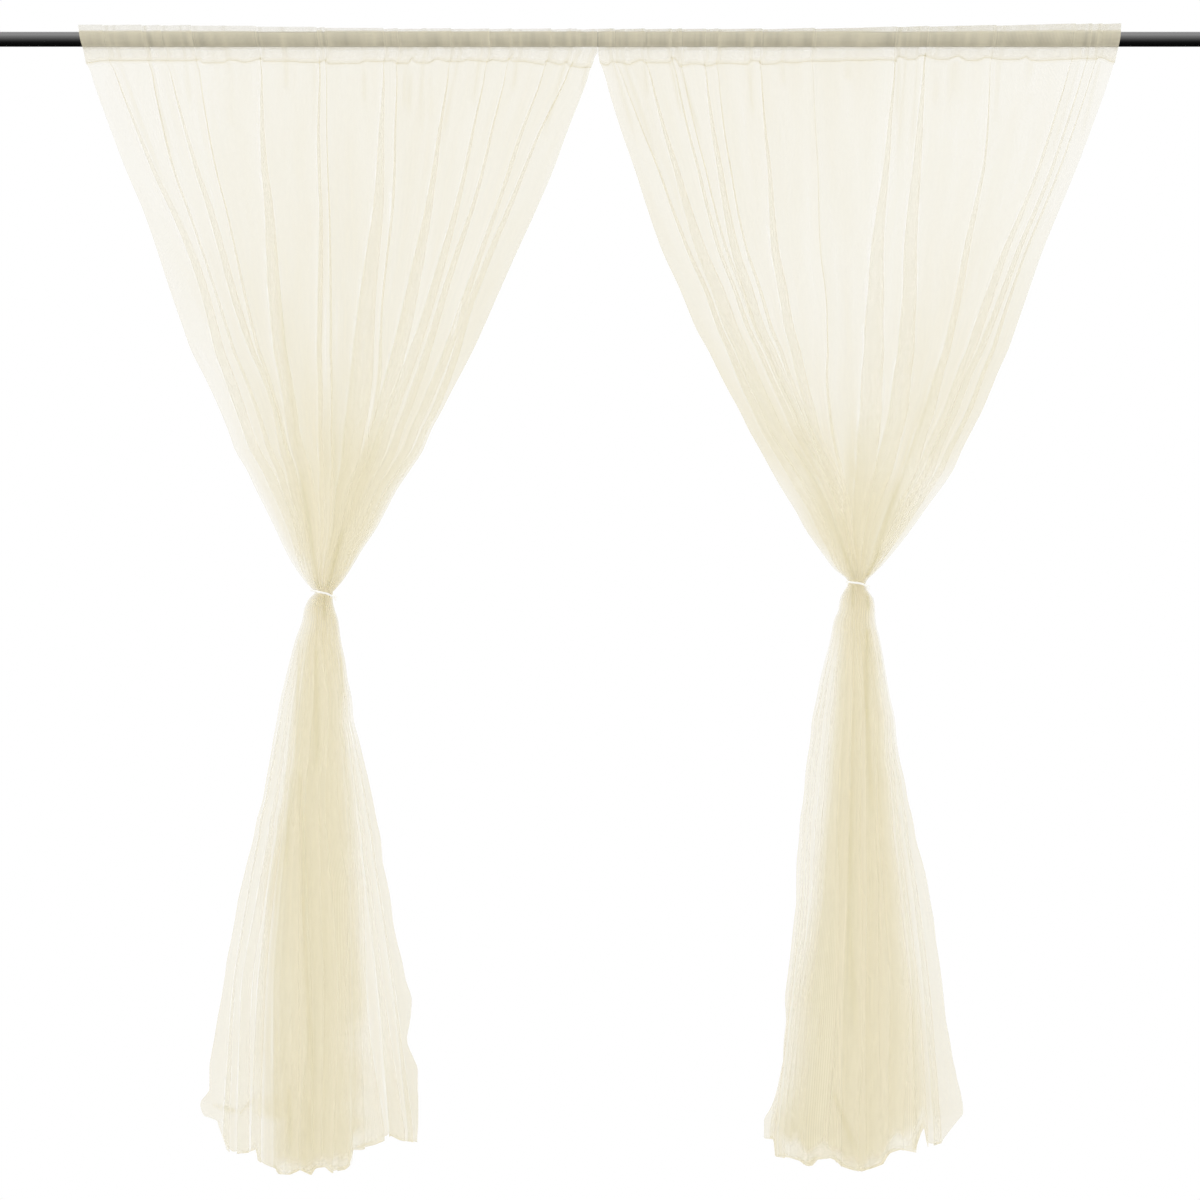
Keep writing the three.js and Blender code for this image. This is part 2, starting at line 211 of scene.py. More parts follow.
# Gathers: how evenly they hide the folds, and how they thin out beside the neck
GATHER_BINS = 360
LAST_BIN = GATHER_BINS - 1.001
EVENED_BINS = GATHER_BINS // 6 | 1
INSET_BINS = 1.3
HIDDEN_UPPER = (0.6, 0.8)
HIDDEN_SKIRT = 0.85
PEAK_FLATNESS = (2.0, 4.0)
NECK_SIDE = 0.55
NECK_SIDE_SHARE = 0.09

# Creases, with painted shade along them
SEAM_CREASE = 0.45
CREASE_WIDTH = 4.5
CREASE_START = 0.5
CREASE_FADE = 0.4
CREASE_HEIGHT = 1.5
CREASE_PAINTED_SHADE = (0.5, 1.1)

# Cover, from 0 for none to 1 for solid cloth. Streaks are (strength, across, down)
SINGLE_COVER = 0.36
AMOUNT_LIMITS = (0.05, 10)
COVER_LIMITS = (0.03, 0.97)
STREAKS = ((0.06, 34, 900), (0.03, 11, 260))
STEEPEST = 3.0
STEEP_POWER = 0.15
SELVEDGE = 40
SELVEDGE_AMOUNT = 0.8
SEAM_COVER = 0.62
SEAM_SHARES = (0.4, 1.0, 0.4)
FRINGE_ROW = -60
FRINGE_MIDDLE = 0.46
FRINGE_HEIGHT = 30
FRINGE_RISE = 44
FRINGE_WANDER = 4
FRINGE_WAVES = (40, 400, 5)
FRINGE_FADE = 30
FRINGE_LEAST = 2
FRINGE_DEPTH = 3
FRINGE_AMOUNT = 0.36
HEM_LINE = 1.5
HEM_COVER = 1.15
HEM_MOST = 0.9

# Pocket
POCKET_RADIUS = 15.4
POCKET_TOUCH = math.radians(-21)
POCKET_STEPS = 22
POCKET_SIDES = (SEAM_HEIGHT - 8, 17.0)
SLOPE_STEPS = 5
SLOPE_PULL = 0.4
FRONT_SLOPE = (-9.5, -13.6, -14.6, -21, -28, -35)
WAVY_BELOW = -ROD_RADIUS - 4
SEAM_GAP = 1.0
SEAM_RELIEF = 0.3
POCKET_PULL = 1.2
FOLD_PULL = 0.6
LIFT_POWER = 1.5
PLEAT_WIDTH = 3.0
PLEAT_COVER = 0.5
FRONT_COVER = 0.3
BACK_COVER = 0.25
OVER_ROD_COVER = (0.71, 0.9)
RIDGE_OVERLAP = 0.5
RIDGE_FADE = 1.5
UNDER_OVERLAP = 0.6
UNDER_FADE = 1.0
# Painted light on the pocket cloth over the rod, which shades it from behind; the ridge above it
# gets less
POCKET_PAINTED_LIGHT = (0.9, 0.3)

# Outline is the side edges seen from the room, as (height, left, right). Folds run left to
# right, each with the x of its front edge at FOLD_HEIGHTS and the step in x from there to its
# back edge; between the two the cloth lies three deep. Seam, hem and lift, the height of the
# gathered ridge above the rod, are (x, height) along the panel, and ridge is that ridge's cover.
# Seam creases are (x in the seam, x and height where they end), other creases (x, height,
# x, height, strength), some with a width. Gathers tell how many layers deep the cloth is pushed
# together: (height, at the left, at the right, peak, its place and width as shares).
PANELS = {"left": dict(seed=3, ridge=0.2,
    waist=dict(x=-516, z=-1030, tilt=-0.33, half_width=20.1, half_depth=15), outline=(
    (17, -971, -4.3), (-17, -962, -4.3), (-27, -959.5, -5), (-33, -958.5, -10), (-44, -956, -13),
    (-57, -949, -19), (-76, -943, -24), (-98, -936, -32), (-131, -924, -45), (-169, -910, -60),
    (-243, -882, -87), (-318, -850, -119), (-392, -824, -153), (-466, -800, -186),
    (-541, -774, -219), (-578, -761, -236), (-615, -742, -255), (-652, -724, -275),
    (-690, -707, -294), (-727, -692, -314), (-764, -679, -329), (-801, -657, -353),
    (-838, -640, -378), (-876, -621, -398), (-913, -603, -418), (-950, -586, -443),
    (-987, -565, -465), (-1006, -551, -478), (-1021, -538, -491), (-1028, -530, -497),
    (-1043, -543, -497), (-1062, -551, -493), (-1080, -554, -487), (-1117, -567, -482),
    (-1155, -577, -474), (-1192, -586, -469), (-1229, -595, -461), (-1266, -601, -458),
    (-1303, -608, -448), (-1341, -614, -439), (-1378, -621, -430), (-1415, -627, -422),
    (-1452, -638, -415), (-1489, -645, -407), (-1527, -655, -404), (-1564, -664, -396),
    (-1601, -673, -389), (-1638, -679, -385), (-1675, -686, -378), (-1713, -694, -368),
    (-1750, -699, -361), (-1787, -705, -350), (-1824, -712, -353), (-1861, -718, -359),
    (-1899, -725, -345), (-1915, -727, -339), (-1955, -727, -339), (-1966, -733, -338),
    (-1977, -742, -338), (-1985, -744, -338), (-1994, -742, -338), (-2005, -737, -338),
    (-2012, -713, -338), (-2045, -706, -340),
), folds=(
    ((-906, -815, -722, -651, -558, -586, -618, -653, -679, -688),
     (-4, -13, -18, -22, -17, -4, -5, -5, -7, -15)),
    ((-835, -783, -707, -627, -552, -573, -597, -621, -647, -651),
     (-4, -7, -7, -9, -12, -7, -9, -19, -23, -26)),
    ((-802, -737, -670, -593, -541, -560, -582, -606, -621, -629),
     (-3, -13, -16, -13, -15, -11, -11, -15, -19, -22)),
    ((-746, -707, -655, -590, -541, -541, -554, -558, -558, -558),
     (-5, -5, -7, -9, -8, -19, -24, -39, -52, -52)),
    ((-627, -612, -591, -560, -519, -532, -551, -545, -538, -558),
     (-7, -19, -27, -26, -19, -24, -24, -43, -61, -30)),
    ((-517, -517, -515, -515, -513, -532, -547, -543, -536, -532),
     (-9, -9, -11, -10, -8, -19, -17, -30, -41, -46)),
    ((-508, -504, -498, -497, -502, -506, -521, -517, -512, -513),
     (-4, -4, -6, -5, -6, -37, -33, -41, -44, -45)),
    ((-400, -398, -415, -432, -487, -502, -510, -495, -484, -493),
     (-5, -22, -35, -44, -15, -34, -39, -57, -67, -61)),
    ((-376, -379, -402, -418, -478, -489, -487, -465, -469, -465),
     (-5, -8, -5, -10, -17, -45, -49, -76, -67, -78)),
    ((-279, -303, -339, -394, -472, -484, -472, -463, -463, -461),
     (-4, -15, -27, -30, -19, -41, -53, -58, -54, -60)),
    ((-210, -249, -305, -379, -465, -476, -465, -446, -443, -435),
     (-4, -11, -19, -28, -17, -32, -37, -49, -44, -56)),
    ((-171, -218, -286, -357, -454, -472, -454, -437, -432, -398),
     (-4, -9, -15, -17, -17, -15, -18, -28, -29, -67)),
    ((-99, -169, -244, -327, -443, -469, -445, -420, -398, -361),
     (-5, -11, -15, -19, -16, -7, -9, -13, -15, -33)),
    ((-50, -143, -231, -309, -433, -465, -433, -405, -378, -346),
     (-8, -11, -15, -15, -15, -4, -6, -6, -7, -13)),
), seam=(
    (-949, -44), (-930, -40), (-818, -40), (-758, -40), (-745, -38), (-740, -44), (-699, -44),
    (-696, -38), (-670, -40), (-662, -44), (-630, -36), (-627, -41), (-567, -41), (-558, -43),
    (-522, -43), (-512, -39), (-507, -46), (-446, -45), (-437, -40), (-410, -42), (-385, -40),
    (-378, -45), (-357, -45), (-352, -33), (-342, -44), (-315, -45), (-311, -37), (-298, -37),
    (-288, -41), (-257, -42), (-249, -38), (-210, -42), (-201, -38), (-175, -42), (-169, -35),
    (-164, -41), (-141, -41), (-102, -48), (-99, -40), (-74, -48), (-61, -42), (-56, -49),
    (-32, -53), (-19, -52),
), hem=(
    (-746, -1988), (-743, -1996), (-739, -2002), (-733, -2006), (-722, -2009), (-714, -2010),
    (-711, -2018), (-703, -2038), (-694, -2064), (-683, -2075), (-655, -2071), (-638, -2064),
    (-640, -2083), (-623, -2094), (-604, -2101), (-601, -2111), (-577, -2112), (-558, -2103),
    (-536, -2112), (-530, -2099), (-511, -2096), (-497, -2107), (-474, -2103), (-463, -2094),
    (-462, -2066), (-443, -2066), (-419, -2060), (-396, -2047), (-391, -2040), (-372, -2048),
    (-337, -2052),
), lift=(
    (-971, 9.5), (-740, 8.5), (-600, 6), (-480, 4), (-400, 2.5), (0, 1.5),
), seam_creases=(
    (-893, -799, -303), (-836, -790, -253), (-690, -684, -173), (-530, -530, -193),
    (-437, -439, -133), (-360, -365, -138), (-348, -357, -153), (-312, -318, -163),
    (-265, -299, -213), (-330, -333, -183), (-24, -36, -103), (-64, -109, -193),
    (-585, -584, -103), (-770, -761, -133), (-155, -161, -103), (-225, -238, -133),
), creases=(
    (-513, -1034, -513, -1090, 0.9, 3.5), (-524, -1018, -562, -770, 0.6, 7),
    (-564, -760, -596, -440, 0.3, 10), (-506, -1018, -472, -890, 0.8, 6),
    (-466, -900, -400, -690, 0.2, 16), (-515, -1010, -500, -760, -0.3, 14),
    (-528, -1136, -526, -1400, 0.5, 6), (-558, -1370, -547, -1660, 0.5, 8),
    (-552, -1600, -533, -1990, 0.6, 6), (-579, -1950, -575, -2080, 0.5, 6),
    (-540, -1970, -540, -2085, 0.4, 6), (-560, -1120, -566, -1350, 0.35, 4),
    (-574, -1370, -588, -1570, 0.4, 5), (-482, -1150, -478, -1240, 0.4, 4),
    (-259, -494, -279, -565, -0.4), (-391, -280, -390, -355, -0.35),
    (-424, -662, -435, -774, -0.3), (-718, -1982, -668, -1996, 0.8),
    (-668, -1996, -640, -1965, 0.5), (-511, -485, -511, -672, -0.35),
    (-491, -485, -492, -672, -0.3),
), gathers=(
    (-50, 0.66, 1.3, 0.3, 0.45, 0.5), (-300, 0.85, 1.6, 0.45, 0.45, 0.4),
    (-485, 1, 2.2, 0.6, 0.35, 0.3), (-671, 0.7, 2.6, 1.6, 0.4, 0.38),
    (-764, 0.65, 1.4, 4.1, 0.55, 0.43), (-857, 0.75, 1.1, 8.4, 0.56, 0.36),
    (-931, 0.7, 1.3, 9.5, 0.56, 0.36), (-987, 1.1, 0.9, 8.6, 0.64, 0.34),
    (-1080, 1.3, 1.5, 6.3, 0.58, 0.3), (-1155, 1.5, 1.1, 9.3, 0.58, 0.3),
    (-1229, 1.33, 1.1, 8.4, 0.56, 0.28), (-1378, 1.48, 1.66, 6.6, 0.51, 0.26),
    (-1527, 1.4, 1.68, 7.1, 0.48, 0.26), (-1675, 1.26, 1.6, 6.8, 0.5, 0.24),
    (-1824, 1.52, 1.76, 5.5, 0.5, 0.22), (-1973, 1.65, 2.5, 6.4, 0.5, 0.19),
)
), "right": dict(seed=5, ridge=0.3,
    waist=dict(x=477.5, z=-1012, tilt=-0.18, half_width=17.2, half_depth=14), outline=(
    (17, -3.7, 970), (-17, -3.7, 963.5), (-28, -3.2, 961), (-36, -2, 959.5), (-44, 0, 957),
    (-52, 3.5, 954), (-68, 9, 949), (-98, 17, 939), (-131, 27, 927), (-169, 39, 913),
    (-243, 65, 885), (-318, 89, 854), (-392, 115, 824), (-466, 149, 798), (-541, 180, 772),
    (-578, 201, 759), (-615, 219, 742), (-652, 238, 727), (-690, 259, 711), (-727, 277, 692),
    (-764, 298, 673), (-801, 318, 657), (-838, 339, 632), (-876, 363, 604), (-913, 383, 578),
    (-950, 409, 549), (-987, 437, 517), (-1006, 460, 497), (-1013, 461, 494), (-1021, 457, 496),
    (-1028, 452, 500), (-1043, 446, 510), (-1062, 443, 512), (-1080, 435, 513), (-1117, 428, 521),
    (-1155, 418, 528), (-1192, 409, 534), (-1229, 402, 541), (-1266, 394, 549), (-1303, 391, 552),
    (-1341, 385, 558), (-1378, 381, 567), (-1415, 378, 573), (-1452, 372, 582), (-1489, 370, 588),
    (-1527, 366, 599), (-1564, 365, 608), (-1601, 365, 614), (-1638, 361, 621), (-1675, 357, 625),
    (-1713, 353, 631), (-1750, 348, 636), (-1787, 344, 640), (-1824, 346, 644), (-1861, 342, 651),
    (-1899, 340, 657), (-1915, 337, 661), (-1936, 333, 665), (-1954, 329, 670), (-1971, 324, 673),
    (-1982, 320, 675), (-1994, 314, 675.5), (-2000, 310, 675), (-2005, 307, 671),
    (-2012, 305, 665), (-2045, 305, 640),
), folds=(
    ((35, 119, 210, 307, 432, 411, 387, 376, 355, 326),
     (-3, -6, -11, -17, -19, -4, -4, -6, -5, -10)),
    ((91, 156, 240, 333, 446, 420, 398, 387, 370, 344),
     (-5, -16, -28, -28, -22, -5, -6, -8, -11, -13)),
    ((141, 192, 262, 361, 463, 439, 417, 413, 394, 381),
     (-7, -8, -9, -13, -17, -13, -12, -21, -28, -41)),
    ((153, 203, 275, 370, 465, 458, 443, 446, 443, 428),
     (-4, -4, -9, -9, -15, -26, -28, -44, -71, -78)),
    ((197, 234, 292, 383, 469, 469, 465, 458, 450, 443),
     (-4, -15, -22, -17, -15, -26, -37, -45, -67, -78)),
    ((219, 249, 307, 389, 471, 471, 467, 461, 454, 452),
     (-3, -5, -8, -10, -13, -17, -24, -29, -45, -69)),
    ((301, 322, 353, 405, 472, 487, 484, 487, 491, 484),
     (-5, -11, -20, -20, -14, -22, -21, -29, -45, -75)),
    ((396, 407, 422, 432, 472, 493, 495, 498, 495, 495),
     (-2, -2, -2, -6, -11, -24, -30, -39, -43, -52)),
    ((552, 539, 530, 525, 491, 510, 513, 521, 521, 528),
     (-7, -18, -35, -45, -22, -34, -37, -52, -60, -78)),
    ((608, 599, 590, 571, 502, 513, 517, 528, 539, 539),
     (-11, -24, -30, -39, -22, -20, -22, -28, -44, -74)),
    ((727, 714, 673, 619, 532, 528, 543, 558, 577, 567),
     (-3, -9, -15, -24, -19, -33, -46, -56, -71, -69)),
    ((876, 813, 731, 649, 541, 530, 543, 560, 580, 591),
     (-4, -9, -19, -20, -18, -24, -26, -24, -41, -70)),
    ((904, 837, 751, 660, 547, 534, 552, 575, 595, 612),
     (-4, -9, -13, -18, -15, -6, -7, -11, -15, -32)),
    ((921, 850, 764, 684, 554, 538, 564, 593, 616, 636),
     (-4, -6, -7, -11, -11, -4, -6, -9, -13, -15)),
), seam=(
    (0, -44), (6, -48), (15, -48), (20, -42), (41, -44), (52, -48), (74, -39), (80, -39),
    (82, -44), (126, -44), (132, -43), (134, -35), (141, -37), (147, -51), (158, -49), (167, -46),
    (186, -46), (197, -50), (208, -49), (218, -45), (242, -45), (275, -47), (279, -40), (296, -41),
    (299, -47), (326, -46), (337, -43), (339, -39), (346, -44), (372, -44), (381, -41), (446, -41),
    (458, -39), (502, -40), (517, -38), (549, -39), (552, -43), (554, -32), (564, -34), (573, -38),
    (590, -37), (595, -30), (605, -31), (614, -34), (627, -38), (651, -38), (658, -33), (666, -31),
    (684, -40), (707, -39), (718, -33), (744, -38), (781, -38), (796, -31), (804, -41), (856, -38),
    (902, -36), (923, -37), (930, -33), (940, -36), (953, -42),
), hem=(
    (304, -2044), (308, -2045), (323, -2046), (326, -2079), (353, -2081), (372, -2086),
    (383, -2095), (394, -2097), (400, -2084), (428, -2081), (437, -2084), (450, -2097),
    (469, -2103), (487, -2105), (506, -2099), (528, -2090), (532, -2079), (539, -2070),
    (558, -2064), (589, -2070), (590, -2059), (597, -2038), (602, -2023), (606, -2047),
    (610, -2060), (623, -2059), (636, -2053), (651, -2023), (660, -2012), (677, -2001),
    (690, -1990),
), lift=(
    (0, 1.5), (330, 2), (480, 4), (560, 6), (760, 9), (971, 12.5),
), seam_creases=(
    (24, 69, -193), (45, 113, -243), (82, 89, -113), (132, 156, -163), (146, 194, -203),
    (279, 283, -163), (339, 340, -93), (462, 462, -83), (556, 552, -163), (568, 551, -253),
    (590, 579, -233), (624, 622, -133), (655, 650, -173), (664, 664, -123), (800, 798, -133),
    (892, 835, -233), (930, 890, -203), (742, 735, -183),
), creases=(
    (471, -1018, 470, -1066, 1, 3.5), (497, -1030, 499, -1066, 0.8, 3.5),
    (474, -1004, 430, -890, 0.7, 6), (434, -905, 345, -680, 0.35, 16),
    (478, -990, 444, -870, 0.4, 4), (497, -998, 524, -945, 0.9, 5), (515, -955, 567, -780, 0.6, 7),
    (565, -790, 632, -590, 0.35, 10), (449, -880, 450, -680, -0.25, 14),
    (497, -1100, 494, -1290, 0.7, 6), (496, -1240, 508, -1470, 0.6, 6),
    (470, -1250, 464, -1440, 0.35, 4), (465, -1400, 463, -1640, 0.45, 8),
    (463, -1620, 476, -1870, 0.45, 8), (437, -1965, 482, -2085, 0.6, 7),
), gathers=(
    (-50, 1.4, 0.8, 0.2, 0.5, 0.3), (-300, 1.7, 1.1, -0.2, 0.4, 0.2),
    (-485, 2, 1.7, -0.6, 0.4, 0.2), (-671, 3.1, 2.5, -1, 0.42, 0.2),
    (-764, 3.9, 2.8, 0.2, 0.45, 0.24), (-857, 1.5, 0.8, 6.4, 0.48, 0.37),
    (-931, 1.6, 0.8, 11.5, 0.47, 0.34), (-987, 0.9, 0.65, 9.7, 0.53, 0.33),
    (-1080, 1.4, 0.65, 7, 0.53, 0.3), (-1155, 1.29, 0.7, 8.7, 0.58, 0.28),
    (-1229, 1.43, 0.92, 8.7, 0.58, 0.26), (-1378, 1.18, 1.46, 8, 0.55, 0.26),
    (-1527, 1.22, 1.53, 8, 0.5, 0.26), (-1675, 1.4, 1.49, 7.2, 0.46, 0.28),
    (-1824, 1.56, 1.64, 6.8, 0.46, 0.32), (-1973, 1.07, 1.66, 7, 0.44, 0.34),
)
)}


def ease(t):
    t = np.clip(t, 0.0, 1.0)
    return t * t * (3 - 2 * t)


def mix(a, b, t):
    return a + (b - a) * t


def flowing(heights, values, z):
    """Values given at falling heights, read at z along a smooth line with no overshoot."""
    t, v = -np.asarray(heights, float), np.asarray(values, float)
    q = np.clip(-np.asarray(z, float), t[0], t[-1])
    slope = np.diff(v) / np.diff(t)
    lean = np.concatenate(([slope[0]], np.zeros(len(v) - 2), [slope[-1]]))
    product = slope[:-1] * slope[1:]
    total = slope[:-1] + slope[1:]
    keep = product > 0
    lean[1:-1][keep] = 2 * product[keep] / total[keep]
    i = np.clip(np.searchsorted(t, q, side="right") - 1, 0, len(t) - 2)
    step = t[i + 1] - t[i]
    u = (q - t[i]) / step
    return ((2 * u**3 - 3 * u**2 + 1) * v[i] + (u**3 - 2 * u**2 + u) * step * lean[i]
            + (3 * u**2 - 2 * u**3) * v[i + 1] + (u**3 - u**2) * step * lean[i + 1])


def along(pairs, x):
    return np.interp(x, *zip(*pairs))


def ripple(rng, u, v, across, down, waves=6):
    """Seeded soft noise of about unit height over u and v, both in millimetres."""
    total = 0
    for _ in range(waves):
        a = 2 * math.pi / (across * rng.uniform(*WAVE_LENGTHS))
        b = 2 * math.pi / (down * rng.uniform(*WAVE_LENGTHS))
        total = total + np.sin(u * a + v * b * rng.choice((-1, 1)) + rng.uniform(0, 6.28))
    return total / math.sqrt(waves)


def level_heights(waist_z):
    """Heights of the rows from the seam to the hem: close at the seam, the waist and the hem."""
    steps = ((SEAM_HEIGHT, 5), (-120, 9), (-500, 14), (-880, 12), (waist_z + 40, 5),
             (waist_z - 40, 5), (waist_z - 250, 13), (-1900, 13), (-2000, 6), (LOWEST, 4))
    z = float(SEAM_HEIGHT)
    found = [z + SEAM_HALF_WIDTH, z, z - SEAM_HALF_WIDTH]
    z -= BELOW_SEAM
    while z > LOWEST:
        found.append(z)
        z -= float(along([(-height, step) for height, step in steps], -z))
    return np.array(found + [float(LOWEST)])


def build_panel(spec):
    """Grid of the panel's cloth: points [row, column], cover of one layer, tone, cloth length."""
    waist = spec["waist"]
    rng = np.random.default_rng(spec["seed"])
    heights = np.insert(np.array(FOLD_HEIGHTS, float), WAIST_ROW, waist["z"])
    top, left, right = (np.array(c, float) for c in zip(*spec["outline"]))
    level = level_heights(waist["z"])
    row_count = len(level)

    def outline(z):
        return flowing(top, left, z), flowing(top, right, z)

    # Fold lines: left side edge, front and back edge of each fold, right side edge
    low, high = outline(heights)
    side_edge = dict(share=0 * heights, front=0, size=0.0)
    lines = [side_edge]
    for k, (front_edge, widths) in enumerate(spec["folds"]):
        front_edge = np.array(front_edge, float)
        back_edge = front_edge + widths
        for front, x in ((1, front_edge), (-1, back_edge)):
            x = mix((front_edge + back_edge) / 2, x, along(FOLD_OPENING, -np.array(FOLD_HEIGHTS)))
            even = (2 * k + EVEN_PLACE[front]) / (2 * len(spec["folds"]) + 1)
            x = np.insert(x, WAIST_ROW, (low + even * (high - low))[WAIST_ROW])
            lines.append(dict(share=(x - low) / (high - low), x=x, front=front,
                              size=rng.uniform(*FOLD_SIZES)))
    lines.append(dict(side_edge, share=side_edge["share"] + 1))

    def gathered(z):
        """0 where the cloth hangs free, 1 at the waist and below it."""
        return ease((NECK_START - z) / (NECK_START - waist["z"] - NECK_END))

    def opened(z):
        """0 down to the waist, 1 where the skirt has opened."""
        return ease((waist["z"] - OPENING_START - z) / OPENING_RUN)

    def line_at(line, z):
        """x and stand-off h of one fold line at heights z."""
        low, high = outline(z)
        x = low + flowing(heights, line["share"], z) * (high - low)
        if line["front"]:
            x = mix(x, flowing(heights, line["x"], z), ease((SKIRT_FREE - z) / SKIRT_FREE_RUN))
            x = np.clip(x, low + EDGE_ROOM, high - EDGE_ROOM)
        reach = (x - waist["x"]) / (waist["half_width"] * OVAL_WIDTH)
        oval = waist["half_depth"] * np.sqrt(np.clip(1 - reach**2, OVAL_LEAST, 1))
        size = line["front"] * line["size"]
        upper = size * mix(*UPPER_STAND_OFF, ease((SEAM_HEIGHT - z) / UPPER_RUN))
        skirt = size * mix(*SKIRT_STAND_OFF, ease((waist["z"] - z) / SKIRT_RUN))
        return x, mix(mix(upper, line["front"] * oval, gathered(z)), skirt, opened(z))

    # Columns between the fold lines, closer together where the cloth turns
    segment, place = [], []
    for k in range(len(lines) - 1):
        steps = WALL_COLUMNS if k % 2 else STRIP_COLUMNS
        for j in range(steps):
            segment.append(k)
            place.append(mix((1 - math.cos(math.pi * j / steps)) / 2, j / steps, EVEN_COLUMNS))
    segment.append(len(lines) - 2)
    place.append(1.0)
    segment, place = np.array(segment), np.array(place)
    columns = len(segment)

    # Heights in three rounds, because the wavy seam, the slanted waist and the ragged hem
    # depend on where across the panel a column meets them
    lifts = rng.uniform(*HEM_LIFTS, len(lines)) * (rng.uniform(0, 1, len(lines)) < LIFTED_SHARE)
    lifts[0] = lifts[-2] = 0
    fall = np.clip((waist["z"] - level) / (waist["z"] - level[-1]), 0, 1)[:, None] ** HEM_FALL
    by_seam = ease(1 - (SEAM_HEIGHT - level) / SEAM_REACH)[:, None]
    by_waist = ease(1 - np.abs(level - waist["z"]) / WAIST_REACH)[:, None]
    z = np.repeat(level[:, None], columns, 1)
    for _ in range(3):
        x, h = np.empty_like(z), np.empty_like(z)
        for j in range(columns):
            xa, ha = line_at(lines[segment[j]], z[:, j])
            xb, hb = line_at(lines[segment[j] + 1], z[:, j])
            x[:, j], h[:, j] = mix(xa, xb, place[j]), mix(ha, hb, place[j])
        foot = along(spec["hem"], x[-1]) + lifts[segment] * np.sin(np.pi * place)
        seam_dip = along(spec["seam"], x[0])
        z = level[:, None] + fall * (foot - level[-1]) + by_seam * (seam_dip - SEAM_HEIGHT)
        z += waist["tilt"] * by_waist * (x - waist["x"])
    for _ in range(SMOOTHINGS):
        for grid in (x, h):
            grid[:, 1:-1] = (grid[:, :-2] + 2 * grid[:, 1:-1] + grid[:, 2:]) / 4

    # Cloth length from the left edge, the same for all rows
    cloth = np.hypot(np.diff(x, axis=1), np.diff(h, axis=1))
    cloth = np.concatenate(([0.0], np.cumsum(np.median(cloth, axis=0))))
    cloth *= FLAT_WIDTH / cloth[-1]
    on_cloth = cloth[None, :]

    # Soft relief that runs down the cloth, and a slow swing of the whole skirt. Painted shade:
    # lighter where folds stand out into the room, darker in their hollows
    gather, loose = gathered(z), opened(z)
    free = (1 - gather) * ease((SEAM_HEIGHT - z) / UPPER_RUN)
    shown = np.clip(h / np.maximum(FULL_RELIEF, np.abs(h).max(axis=1, keepdims=True)), -1, 1)
    tone_and_painted_shading = mix(*TONE, gather) + mix(*FOLD_PAINTED_SHADE, gather) * shown
    for over, (height, *size), where in (
            (on_cloth, UPPER_RELIEF, free), (on_cloth, SKIRT_RELIEF, loose),
            (x, SKIRT_SWING, loose)):
        h += ripple(rng, over, z, *size) * (height * where)

    # How many layers lie over one another at each height, on an even grid across the panel
    at_level = np.stack([np.interp(-level, -a, b) for a, b in zip(z.T, x.T)], 1)
    hangs = level[:, None] >= z[-1] - HEM_TOLERANCE
    low = at_level.min(axis=1, keepdims=True)
    high = at_level.max(axis=1, keepdims=True)
    share = np.clip((at_level - low) / (high - low), 0, 1)
    ends = np.sort(np.stack((share[:, :-1], share[:, 1:])), axis=0) * LAST_BIN
    there = (hangs[:, :-1] & hangs[:, 1:]).astype(float)
    layers = np.zeros((row_count, GATHER_BINS))
    for end, sign in zip(ends, (1, -1)):
        cell = end.astype(int)
        for shift, part in ((0, 1 - (end - cell)), (1, end - cell)):
            np.add.at(layers, (np.arange(row_count)[:, None], cell + shift), sign * part * there)
    layers = np.maximum(np.cumsum(layers, axis=1), 1.0)

    # How much cloth is wanted there, shared out with some of the folds' own pattern kept
    bins = np.linspace(0, 1, GATHER_BINS)[None, :]
    hidden = mix(mix(*HIDDEN_UPPER, gathered(level)), HIDDEN_SKIRT, opened(level))[:, None]
    drawn = layers ** (1 - hidden)
    kernel = np.exp(-np.linspace(-2, 2, EVENED_BINS) ** 2)
    kernel /= kernel.sum()
    pad = len(kernel) // 2
    even = np.stack([np.convolve(np.pad(r, pad, "edge"), kernel, "valid") for r in drawn])
    marks, *profile = zip(*spec["gathers"])
    from_left, from_right, peak, centre, wide = (flowing(marks, p, level)[:, None] for p in profile)
    flatness = mix(*PEAK_FLATNESS, opened(level))[:, None]
    target = mix(from_left, from_right, bins)
    target += peak * np.exp(-np.abs((bins - centre) / wide) ** flatness)
    thin = mix(NECK_SIDE, 1.0, ease(np.minimum(bins, 1 - bins) / NECK_SIDE_SHARE))
    target *= mix(1.0, thin, (gathered(level) * (1 - opened(level)))[:, None])
    per_layer = target * drawn / even / layers

    # Each point takes its amount from the grid, inside the strip that it belongs to
    strips = [share[:, np.flatnonzero(segment == k)[0]:np.flatnonzero(segment == k)[-1] + 2]
              for k in range(len(lines) - 1)]
    inset = INSET_BINS / GATHER_BINS
    first = np.stack([p.min(axis=1) for p in strips], 1) + inset
    final = np.stack([p.max(axis=1) for p in strips], 1) - inset
    first, final = np.minimum(first, (first + final) / 2), np.maximum(final, (first + final) / 2)
    row = np.interp(-z, -level, np.arange(row_count))
    amount = total = 0
    for step in (0, 1):
        r = np.minimum(row.astype(int) + step, row_count - 1)
        place_there = (x - low[r, 0]) / (high - low)[r, 0]
        cell = np.clip(place_there, first[r, segment], final[r, segment]) * (GATHER_BINS - 1)
        cell = np.clip(cell, 0, LAST_BIN)
        c = cell.astype(int)
        found = mix(per_layer[r, c], per_layer[r, c + 1], cell - c)
        weight = 1 - np.abs(row - row.astype(int) - step)
        amount, total = amount + found * weight, total + target[r, c] * weight
